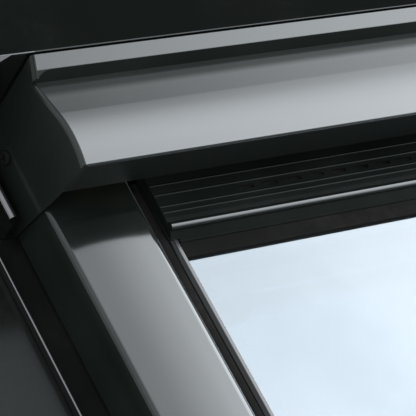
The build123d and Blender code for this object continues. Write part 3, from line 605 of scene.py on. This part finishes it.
class Finishes:
    """Every material, made once and handed out by node."""

    # Painted shade: a cut coat darkens the hood's riser.
    HOOD_RISER_PAINTED_SHADE = Zone(start=480.3 * MM, end=485.3 * MM, weight=0.12)
    # Painted shade: a cut coat darkens the groove under the hood's band.
    UNDER_HOOD_GROOVE_PAINTED_SHADE = Zone(start=468.5 * MM, end=481.0 * MM, weight=0.3, soft=3.5 * MM)
    # Painted shade: the side covers' coat stays weak outside this box, on their outer bends and sides, and is
    # lifted to full within it.
    FULL_COAT_INSIDE_BEND_SHADE = Zone(half_width=389.0 * MM, weight=5.0, soft=0.9 * MM)
    # Painted shade: a cut coat darkens the side flashings' low flats.
    SIDE_FLASHING_FLAT_PAINTED_SHADE = Zone(top=5.5 * MM, weight=0.12)
    # Painted shade: the head flashing's low flats lose their coat.
    HEAD_FLASHING_FLAT_PAINTED_SHADE = Zone(top=7.5 * MM)
    # The head flashing's upper parts within the window's width get a dimmer coat.
    HEAD_FLASHING_EDGE = Zone(bottom=30.0 * MM, half_width=390.0 * MM, weight=0.35)
    # Painted highlight: the glazing profiles' crests beside the glass get a coat more than six times as
    # strong as the rest.
    PROFILE_CREST_PAINTED_HIGHLIGHT = Zone(bottom=38.9 * MM, half_width=308.4 * MM, weight=6.5)

    def __init__(self, effects: Effects) -> None:
        """Makes the materials.

        Args:
            effects: The shared node groups.
        """
        hood_low, hood_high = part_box("hood")
        # Painted shade: the hood's drop face below its lip loses its coat.
        drop_face_painted_shade = Zone(end=hood_low[1] + 6.0 * MM, top=hood_high[2] - 8.3 * MM)
        cover_low, cover_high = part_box("sash_top_cover")
        # Painted shade: the sash top cover's coat is cut under the hood over its ribs, and on its front leg.
        cover_ribs_painted_shade = Zone(start=cover_low[1] + 15.5 * MM, weight=0.16)
        cover_front_painted_shade = Zone(end=cover_low[1] + 8.0 * MM, top=cover_high[2] - 3.0 * MM, weight=0.04)
        body = Lacquer("dark_lacquer", (0.0098, 0.0130, 0.0110), 0.4, specular=0.05, coat=1.0,
                       coat_roughness=0.11, coat_ior=2.55, skin_size=900.0, skin_depth=0.006, wear=0.03,
                       dust=0.03)
        hood = replace(body, name="hood_lacquer", zones=(drop_face_painted_shade, self.HOOD_RISER_PAINTED_SHADE, self.UNDER_HOOD_GROOVE_PAINTED_SHADE))
        # Painted shade: the end caps' coat is cut, which darkens their rounded rims; the caps are matt
        # moulded parts as well.
        end_cap = replace(body, name="end_cap_lacquer", coat=0.16)
        # Painted shade: the side covers' weak coat darkens their outer bends and sides; the zone lifts it to
        # full on their tops.
        side_cover = replace(body, name="side_cover_lacquer", coat=0.2, zones=(self.FULL_COAT_INSIDE_BEND_SHADE,))
        # Painted shade: the sash top cover's coat is a little weaker than the body's, which dims its bead.
        top_cover = replace(body, name="top_cover_lacquer", coat=0.8, zones=(cover_ribs_painted_shade, cover_front_painted_shade))
        # Painted shade: the flashings get a darker, matter copy of the lacquer for the shade that lies on
        # them.
        flashing = Lacquer("side_flashing_lacquer", (0.0050, 0.0066, 0.0055), 0.7, specular=0.02, coat=1.0,
                           coat_roughness=0.2, coat_ior=2.4, skin_depth=0.012, dust=0.05,
                           zones=(self.SIDE_FLASHING_FLAT_PAINTED_SHADE,))
        head_flashing = replace(flashing, name="head_flashing_lacquer",
                                zones=(self.HEAD_FLASHING_FLAT_PAINTED_SHADE, self.HEAD_FLASHING_EDGE))
        # Painted shade and highlight: the glazing profiles get a darker copy of the lacquer with a weak coat,
        # raised on their crests.
        profile = Lacquer("profile_lacquer", (0.0085, 0.0097, 0.0091), 0.4, specular=0.05, coat=0.14,
                          coat_ior=2.55, coat_roughness=0.15, dust=0.03, zones=(self.PROFILE_CREST_PAINTED_HIGHLIGHT,))
        black_screw = Skin("black_screw", (0.009, 0.010, 0.0095), 0.6, specular=0.06, wear=0.0, dust=0.0)
        apron = Skin("apron_coating", (0.022, 0.023, 0.024), 0.62, skin_depth=0.05, dust=0.3)
        rubber = Skin("black_rubber", (0.0120, 0.0114, 0.0110), 0.62, specular=0.05, wear=0.0,
                      skin_size=1100.0, skin_depth=0.02)
        zinc = Skin("zinc_plate", (0.56, 0.57, 0.6), 0.3, cloud_colour=(0.66, 0.65, 0.6), cloud_size=60.0,
                    metallic=0.95, skin_depth=0.015, wear_colour=(0.8, 0.8, 0.8))
        aluminium = Skin("anodised_aluminium", (0.7, 0.71, 0.72), 0.3, metallic=1.0,
                         stretch=(0.03, 1.0, 1.0), skin_size=2500.0, skin_depth=0.01, dust=0.0,
                         wear_colour=(0.85, 0.85, 0.85))
        plastic = Skin("grey_plastic", (0.13, 0.135, 0.14), 0.42, skin_size=1500.0, skin_depth=0.02,
                       dust=0.05)
        # Painted reflection: the outer pane's clouds lighten its tint and strengthen its coat in patches, as
        # a reflected cloudy sky.
        coated_glass = Glass("solar_control_glass", tint=(0.06, 0.093, 0.127),
                             painted_cloud_tint=(0.072, 0.105, 0.14), ior=4.0, specular=0.5,
                             mirror_tint=(0.88, 0.945, 1.0), painted_cloud_sheen=0.65)

        self.black_screw = black_screw.material(effects)
        self.rubber = rubber.material(effects)
        self.zinc = zinc.material(effects)
        self.plastic = plastic.material(effects)
        self.pine_up_slope = Pine(Axis.UP_SLOPE).material(effects)
        self.by_slot = {
            Slot.LACQUER: body.material(effects),
            Slot.PINE: Pine(Axis.ACROSS).material(effects),
            Slot.RUBBER: self.rubber,
            Slot.STEEL: self.zinc,
            Slot.ALUMINIUM: aluminium.material(effects),
            Slot.PLASTIC: self.plastic,
            Slot.GLASS: Glass().material(effects),
            Slot.APRON: apron.material(effects),
        }
        cover_material = side_cover.material(effects)
        on_both_sides = {
            "upper_side_cover": cover_material,
            "lower_side_cover": cover_material,
            "hood_end_cap": end_cap.material(effects),
            "side_flashing": flashing.material(effects),
            "glazing_profile": profile.material(effects),
        }
        self.by_node = {
            "hood": hood.material(effects),
            "sash_top_cover": top_cover.material(effects),
            "head_flashing": head_flashing.material(effects),
            "glazing_spacer": Perforated().material(effects),
            "glass_outer": coated_glass.material(effects),
            **{f"{part}_{side.word}": look for part, look in on_both_sides.items() for side in Side},
        }

    def for_node(self, name: str, slot: Slot) -> bpy.types.Material:
        """Returns the material for a node of the frame.

        Args:
            name: The node's name.
            slot: The node's slot in the record.
        """
        if name in self.by_node:
            return self.by_node[name]
        if slot is Slot.PINE and ("jamb" in name or "stile" in name):
            return self.pine_up_slope
        return self.by_slot[slot]


def node_slots() -> dict[str, Slot]:
    """Returns each node's material slot in the record."""
    return {part["node"]: Slot(part["material_slot"]) for part in frame["record"]["subparts"]}


def dress_nodes(finishes: Finishes) -> None:
    """Gives every node of the frame its material.

    Args:
        finishes: The materials.
    """
    slots = node_slots()
    for name, node in frame["nodes"].items():
        node.data.materials.clear()
        node.data.materials.append(finishes.for_node(name, slots[name]))
        log.info("%s: %s", name, node.data.materials[0].name)


@dataclass(frozen=True)
class Ring:
    """A ring of a turned shape, round or with six lobes of a depth that is a share of its radius."""

    radius: float
    height: float
    lobe: float = 0.0


class Piece:
    """A new piece in the making: a mesh that is shaped, then named and dressed."""

    LOBES = 6.0
    WELD = 0.001 * MM
    SHARP = math.radians(32.0)

    def __init__(self, name: str) -> None:
        """Starts an empty shape.

        Args:
            name: The piece's name.
        """
        self.name = name
        self.shape = bmesh.new()

    def lathe(self, rings: list[Ring], segments: int, place: Place, way: Place) -> None:
        """Stacks rings round Z by extruding a capped circle's rim, and puts the result in place.

        Args:
            rings: The rings, from the capped one on.
            segments: The number of sides.
            place: Where the shape's origin goes.
            way: The direction that its Z points in.
        """
        made = bmesh.ops.create_circle(self.shape, cap_ends=True, segments=segments, radius=1.0)["verts"]
        rim = list(dict.fromkeys(edge for vert in made for edge in vert.link_edges))
        every = []
        for ring in rings:
            if every:
                grown = bmesh.ops.extrude_edge_only(self.shape, edges=rim)["geom"]
                made = [part for part in grown if isinstance(part, bmesh.types.BMVert)]
                rim = [part for part in grown if isinstance(part, bmesh.types.BMEdge)]
            for vert in made:
                angle = math.atan2(vert.co.y, vert.co.x)
                reach = ring.radius * (1.0 + ring.lobe * math.cos(self.LOBES * angle))
                vert.co = (reach * math.cos(angle), reach * math.sin(angle), ring.height)
            every += made
        bmesh.ops.edgenet_fill(self.shape, edges=rim)
        turned = Vector(way).to_track_quat("Z", "Y").to_matrix().to_4x4()
        bmesh.ops.transform(self.shape, matrix=Matrix.Translation(place) @ turned, verts=every)

    def prism(self, outline: list[tuple[float, float]], axis: Axis, start: float, end: float) -> None:
        """Extrudes an outline along an axis.

        Args:
            outline: The corners, as the two coordinates across the axis in their usual order.
            axis: The axis of the length.
            start: Where the length starts.
            end: Where it ends.
        """
        verts = []
        for first, second in outline:
            corner = [first, second]
            corner.insert(axis.value, start)
            verts.append(self.shape.verts.new(corner))
        face = self.shape.faces.new(verts)
        grown = bmesh.ops.extrude_face_region(self.shape, geom=[face])["geom"]
        way = [0.0, 0.0, 0.0]
        way[axis.value] = end - start
        moved = [part for part in grown if isinstance(part, bmesh.types.BMVert)]
        bmesh.ops.translate(self.shape, verts=moved, vec=way)

    def finish(self, body: Body, slot: Slot, material: bpy.types.Material, smooth: bool = False,
               stands_for: tuple[str, ...] = ()) -> None:
        """Makes the object and says what it rides on and its material.

        Args:
            body: The body that the piece rides on.
            slot: The slot that the piece would take its finish from; it is not used.
            material: The piece's material.
            smooth: Whether its faces are shaded smooth apart from sharp edges.
            stands_for: The nodes that the piece replaces.
        """
        bmesh.ops.remove_doubles(self.shape, verts=self.shape.verts, dist=self.WELD)
        bmesh.ops.recalc_face_normals(self.shape, faces=self.shape.faces)
        for edge in self.shape.edges:
            edge.smooth = edge.calc_face_angle(0.0) < self.SHARP
        for face in self.shape.faces:
            face.smooth = smooth
        mesh = bpy.data.meshes.new(self.name)
        self.shape.to_mesh(mesh)
        self.shape.free()
        mesh.materials.append(material)
        piece = bpy.data.objects.new(self.name, mesh)
        bpy.context.scene.collection.objects.link(piece)
        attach(piece, body.value)
        if stands_for:
            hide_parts(*stands_for)
        log.info("%s: %d faces", self.name, len(mesh.polygons))


@dataclass(frozen=True)
class StarScrew:
    """A pan-head screw with a six-lobed recess and a drill point, made round Z with its seat at Z = 0.

    The profiles give each ring's radius and height as shares of the shank's, the head's or the recess's.
    """

    SHANK: ClassVar[Pairs] = ((0.2, 1.0), (1.0, 0.9), (1.0, 0.0))
    HEAD: ClassVar[Pairs] = ((0.97, 0.0), (1.0, 0.12), (1.0, 0.4), (0.93, 0.75), (0.74, 0.97), (0.675, 1.0))
    RECESS: ClassVar[Pairs] = ((1.0, 1.0), (0.94, 0.93), (0.9, 0.3))

    head_radius: float
    head_height: float
    shank_radius: float
    shank_length: float
    recess_share: float = 0.5
    segments: int = 24
    lobe: float = 0.17

    def add(self, piece: Piece, place: Place, way: Place) -> None:
        """Adds one screw to a piece.

        Args:
            piece: The piece that the screw becomes part of.
            place: The middle of the head's seat.
            way: The direction that the head points in.
        """
        recess = self.recess_share * self.head_radius
        rings = [Ring(self.shank_radius * wide, -self.shank_length * deep) for wide, deep in self.SHANK]
        rings += [Ring(self.head_radius * wide, self.head_height * high) for wide, high in self.HEAD]
        rings += [Ring(recess * wide, self.head_height * high, self.lobe) for wide, high in self.RECESS]
        piece.lathe(rings, self.segments, place, way)


@dataclass(frozen=True)
class ScrewPlace:
    """Where a plain screw sits: its side, its axis, how far out its head and point are, and its radius."""

    side: Side
    up_slope: float
    out: float
    head: float
    point: float
    radius: float


@dataclass
class SideScrews:
    """The screws through the brackets and the covers, with real heads in place of plain ones."""

    gap_between: float = 6.0 * MM
    head_height: float = 2.5 * MM
    shank_radius: float = 2.4 * MM

    def measure(self, side: Side, group: list[Vector]) -> ScrewPlace:
        """Returns the place of one screw.

        Args:
            side: The side that it is on.
            group: Its vertices.
        """
        ys = [vert.y for vert in group]
        zs = [vert.z for vert in group]
        reach = [abs(vert.x) for vert in group]
        return ScrewPlace(side, (min(ys) + max(ys)) / 2, (min(zs) + max(zs)) / 2, max(reach), min(reach),
                          (max(ys) - min(ys)) / 2)

    def places(self, name: str) -> list[ScrewPlace]:
        """Finds each screw of a node, as groups of vertices with gaps up the slope between them.

        Args:
            name: The node.

        Returns:
            The screws' places, side by side.
        """
        found = []
        points = [vert.co.copy() for vert in frame["nodes"][name].data.vertices]
        for side in Side:
            mine = sorted((p for p in points if p.x * side.value > 0), key=lambda p: p.y)
            groups = [mine[:1]]
            for point in mine[1:]:
                if point.y - groups[-1][-1].y > self.gap_between:
                    groups.append([])
                groups[-1].append(point)
            found += [self.measure(side, group) for group in groups]
        return found

    def build(self, finishes: Finishes) -> None:
        """Builds the screws of both nodes.

        Args:
            finishes: The materials.
        """
        slots = node_slots()
        for name, material in (("bracket_screws", finishes.zinc), ("cover_screws", finishes.black_screw)):
            piece = Piece(f"{name}_star")
            for spot in self.places(name):
                sign = spot.side.value
                seat = spot.head - self.head_height
                screw = StarScrew(spot.radius, self.head_height, self.shank_radius, seat - spot.point)
                screw.add(piece, (sign * seat, spot.up_slope, spot.out), (sign, 0, 0))
            piece.finish(Body.FRAME, slots[name], material, smooth=True, stands_for=(name,))


@dataclass
class FlushScrews:
    """Small countersunk screws on the hinge plates and the striker plate."""

    HEAD: ClassVar[Pairs] = ((1.0, -1.0), (1.0, 0.5), (0.9, 1.0))
    RECESS: ClassVar[Pairs] = ((1.0, 1.0), (0.9, -0.6))

    radius: float = 3.4 * MM
    proud: float = 0.35 * MM
    recess: float = 1.6 * MM
    recess_rim: float = 1.3
    lobe: float = 0.17
    segments: int = 24
    rises: tuple[float, float] = (8.0 * MM, 30.0 * MM)
    below_pin: float = 20.0 * MM
    from_striker_end: float = 7.0 * MM

    def disc(self, piece: Piece, place: Place, way: Place) -> None:
        """Adds one flush head with its recess.

        Args:
            piece: The piece that the head becomes part of.
            place: The head's middle on the plate's face.
            way: The direction that the head points in.
        """
        rings = [Ring(self.radius * wide, self.proud * high) for wide, high in self.HEAD]
        rings.append(Ring(self.recess * self.recess_rim, self.proud))
        rings += [Ring(self.recess * wide, self.proud * high, self.lobe) for wide, high in self.RECESS]
        piece.lathe(rings, self.segments, place, way)

    def plate_face(self, node: str) -> float:
        """Returns how far out a sash plate's outer face lies, below its pin.

        Args:
            node: The plate's node.
        """
        low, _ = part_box(node)
        return max(abs(vert.co.x) for vert in frame["nodes"][node].data.vertices
                   if vert.co.z < low[2] + self.below_pin)

    def build(self, finishes: Finishes) -> None:
        """Builds the screws of each plate.

        Args:
            finishes: The materials.
        """
        for side in Side:
            sign = side.value
            on_frame = f"hinge_frame_plate_{side.word}"
            on_sash = f"sash_hinge_plate_{side.word}"
            low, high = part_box(on_frame)
            inner = min(abs(low[0]), abs(high[0]))
            for node, body, face, way in ((on_frame, Body.FRAME, inner, -sign),
                                          (on_sash, Body.SASH, self.plate_face(on_sash), sign)):
                low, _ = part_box(node)
                piece = Piece(f"{node}_screws")
                for rise in self.rises:
                    self.disc(piece, (sign * face, 0.0, low[2] + rise), (way, 0, 0))
                piece.finish(body, Slot.STEEL, finishes.zinc, smooth=True)
        low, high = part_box("striker_plate")
        piece = Piece("striker_plate_screws")
        for side in Side:
            across = (low[0] + high[0]) / 2 + side.value * ((high[0] - low[0]) / 2 - self.from_striker_end)
            self.disc(piece, (across, low[1], (low[2] + high[2]) / 2), (0, -1, 0))
        piece.finish(Body.FRAME, Slot.STEEL, finishes.zinc, smooth=True)


@dataclass
class GlazingGaskets:
    """Rubber strips that lie on the glazing profiles between the side covers and the ribs."""

    foot_from_glass: float = 8.2 * MM
    below_top: float = 2.0 * MM
    width: float = 8.0 * MM
    height: float = 1.7 * MM
    toe: float = 0.5 * MM
    toe_share: float = 0.6
    crest_start: float = 1.6 * MM
    crest_end: float = 2.4 * MM
    crest_share: float = 0.85
    heel_share: float = 0.4
    end_gap: float = 1.0 * MM
    bevel: float = 0.3 * MM
    shortest_long_edge: float = 100.0 * MM

    def outline(self, inner: float, floor: float) -> list[tuple[float, float]]:
        """Returns the strip's section.

        Args:
            inner: The distance of its inner foot from the middle.
            floor: The height of its foot.
        """
        outer = inner + self.width
        return [(inner, floor), (inner + self.toe, floor + self.height * self.toe_share),
                (inner + self.crest_start, floor + self.height),
                (outer - self.crest_end, floor + self.height * self.crest_share),
                (outer, floor + self.height * self.heel_share), (outer, floor)]

    def build(self, finishes: Finishes) -> None:
        """Builds both strips.

        Args:
            finishes: The materials.
        """
        for side in Side:
            low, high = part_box(f"glazing_profile_{side.word}")
            inner = min(abs(low[0]), abs(high[0])) + self.foot_from_glass
            outline = [(side.value * x, z) for x, z in self.outline(inner, high[2] - self.below_top)]
            piece = Piece(f"glazing_gasket_{side.word}")
            piece.prism(outline, Axis.UP_SLOPE, low[1] + self.end_gap, high[1] - self.end_gap)
            long_edges = [edge for edge in piece.shape.edges if edge.calc_length() > self.shortest_long_edge]
            bmesh.ops.bevel(piece.shape, geom=long_edges, offset=self.bevel, segments=2, profile=0.5,
                            affect="EDGES", material=-1)
            piece.finish(Body.SASH, Slot.RUBBER, finishes.rubber, smooth=True)


@dataclass
class VentFilters:
    """Dark filter fleece behind the slots of the sash's top cover."""

    thickness: float = 1.2 * MM
    width: float = 12.0 * MM
    from_back: float = 21.7 * MM
    cover_sheet: float = 1.5 * MM
    below: float = 2.6 * MM
    from_middle: float = 20.0 * MM
    from_end: float = 14.0 * MM

    def build(self, finishes: Finishes) -> None:
        """Builds one strip for each half of the cover.

        Args:
            finishes: The materials.
        """
        _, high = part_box("sash_top_cover")
        middle = high[1] - self.from_back
        front, back = middle - self.width / 2, middle + self.width / 2
        top = high[2] - self.below - self.cover_sheet
        bottom = top - self.thickness
        for side in Side:
            start, end = sorted((side.value * self.from_middle, side.value * (high[0] - self.from_end)))
            piece = Piece(f"vent_filter_{side.word}")
            piece.prism([(front, bottom), (back, bottom), (back, top), (front, top)], Axis.ACROSS, start, end)
            piece.finish(Body.SASH, Slot.RUBBER, finishes.rubber)


@dataclass
class BarCaps:
    """Plastic caps on the ends of the control bar."""

    length: float = 9.0 * MM
    proud: float = 0.4 * MM
    mouth_edge: float = 0.4 * MM
    mouth_share: float = 0.9
    shoulder: float = 1.6 * MM
    round_off: float = 0.4 * MM
    round_share: float = 0.93
    face_share: float = 0.8
    segments: int = 32

    def build(self, finishes: Finishes) -> None:
        """Builds both caps.

        Args:
            finishes: The materials.
        """
        low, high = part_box("control_bar")
        radius = (high[1] - low[1]) / 2 + self.proud
        rings = [Ring(radius * self.mouth_share, -self.length), Ring(radius, -self.length + self.mouth_edge),
                 Ring(radius, -self.shoulder), Ring(radius * self.round_share, -self.round_off),
                 Ring(radius * self.face_share, self.proud)]
        for side, end in ((Side.LEFT, low[0]), (Side.RIGHT, high[0])):
            piece = Piece(f"bar_cap_{side.word}")
            centre = (end, (low[1] + high[1]) / 2, (low[2] + high[2]) / 2)
            piece.lathe(rings, self.segments, centre, (side.value, 0, 0))
            piece.finish(Body.FLAP, Slot.PLASTIC, finishes.plastic, smooth=True)


@dataclass
class Studio:
    """The floor, the lamp, the world and the camera."""

    floor_height: float = -0.62
    floor_size: float = 60.0
    floor_colour: Colour = (0.93, 0.90, 0.88)
    floor_roughness: float = 0.9
    camera_place: Place = (-1.25055, -0.25876, 1.17319)
    camera_right: Place = (0.78887, -0.44836, 0.42032)
    camera_up: Place = (0.14035, 0.79728, 0.58706)
    camera_back: Place = (-0.59833, -0.40412, 0.69188)
    camera_sees_to: float = 100.0
    focal_pixels: float = 2518.0
    picture_width: float = 416.0
    sensor: float = 36.0
    glow_direction: Place = (0.918, 0.045, 0.393)
    glow_edge_cosine: float = 0.64
    glow_full_cosine: float = 0.935
    glow_radiance: float = 3.05
    glow_fade: float = 1.4
    overhead_direction: Place = (-0.465, 0.425, 0.777)
    overhead_edge_cosine: float = 0.37
    overhead_full_cosine: float = 0.93
    overhead_radiance: float = 1.3
    ambient_radiance: float = 0.1
    world_colour: Colour = (0.90, 0.955, 1.0)
    fill_target: Place = (-0.25, 0.35, 0.05)
    fill_direction: Place = (-0.6, -0.65, 0.5)
    fill_distance: float = 6.0
    fill_size: float = 2.0
    fill_radiance: float = 5.0

    def camera(self) -> None:
        """Places the camera at the photograph's angle."""
        data = bpy.data.cameras.new("camera")
        data.sensor_width = self.sensor
        data.lens = self.focal_pixels * self.sensor / self.picture_width
        data.clip_end = self.camera_sees_to
        camera = bpy.data.objects.new("camera", data)
        bpy.context.scene.collection.objects.link(camera)
        axes = Matrix((self.camera_right, self.camera_up, self.camera_back)).transposed()
        camera.matrix_world = Matrix.Translation(self.camera_place) @ axes.to_4x4()
        bpy.context.scene.camera = camera

    def fill(self) -> None:
        """Adds a square lamp that lights the dark side and isn't mirrored."""
        data = bpy.data.lights.new("fill", "AREA")
        data.size = self.fill_size
        data.energy = self.fill_radiance * math.pi * self.fill_size * self.fill_size
        lamp = bpy.data.objects.new("fill", data)
        lamp.visible_camera = False
        lamp.visible_glossy = False
        way = Vector(self.fill_direction).normalized()
        lamp.location = Vector(self.fill_target) + way * self.fill_distance
        lamp.rotation_euler = way.to_track_quat("Z", "Y").to_euler()
        bpy.context.scene.collection.objects.link(lamp)

    def ramp(self, tree: Tree, centre: Place, edge: float, full: float) -> Socket:
        """Returns a round soft patch of the world.

        Args:
            tree: The world's tree.
            centre: The way to the patch's middle.
            edge: The cosine of the angle at which it ends.
            full: The cosine of the angle at which it is full.
        """
        towards = tree.dot(tree.add("TexCoord").outputs["Generated"], Vector(centre).normalized())
        return tree.add("MapRange", Value=towards, From_Min=edge, From_Max=full).outputs["Result"]

    def world(self) -> None:
        """Makes a dim world with a wide soft glow and a lesser one overhead, plain white to the camera."""
        world = bpy.data.worlds.new("studio")
        world.use_nodes = True
        tree = Tree(world.node_tree)
        nearness = self.ramp(tree, self.glow_direction, self.glow_edge_cosine, self.glow_full_cosine)
        glow = tree.times(tree.maths("POWER", nearness, self.glow_fade), self.glow_radiance)
        above = self.ramp(tree, self.overhead_direction, self.overhead_edge_cosine, self.overhead_full_cosine)
        both = tree.maths("ADD", glow, tree.times(above, self.overhead_radiance))
        radiance = tree.maths("ADD", both, self.ambient_radiance)
        shown = tree.add("LightPath").outputs["Is Camera Ray"]
        mirrored = tree.times(radiance, tree.maths("SUBTRACT", 1.0, shown))
        tree.put_all(world.node_tree.nodes["Background"], Color=tree.mix(shown, self.world_colour, WHITE),
                     Strength=tree.maths("ADD", mirrored, shown))
        bpy.context.scene.world = world

    def floor(self) -> None:
        """Makes the pale floor."""
        mesh = bpy.data.meshes.new("floor")
        shape = bmesh.new()
        bmesh.ops.create_grid(shape, x_segments=1, y_segments=1, size=self.floor_size / 2)
        bmesh.ops.translate(shape, verts=shape.verts, vec=(0, 0, self.floor_height))
        shape.to_mesh(mesh)
        shape.free()
        floor = bpy.data.objects.new("floor", mesh)
        bpy.context.scene.collection.objects.link(floor)
        material, tree, shader, _ = start_material("floor_paint")
        tree.put_all(shader, Base_Color=self.floor_colour, Roughness=self.floor_roughness)
        mesh.materials.append(material)

    def build(self) -> None:
        """Sets up the whole studio."""
        bpy.context.scene.view_settings.view_transform = "Standard"
        self.camera()
        self.world()
        self.floor()
        self.fill()


def main() -> None:
    """Builds the classes in order."""
    logging.basicConfig(level=logging.INFO, format="%(name)s %(message)s")
    finishes = Finishes(Effects())
    dress_nodes(finishes)
    for assembly in (SideScrews(), FlushScrews(), GlazingGaskets(), VentFilters(), BarCaps()):
        assembly.build(finishes)
    Studio().build()


if __name__ == "__main__":
    main()
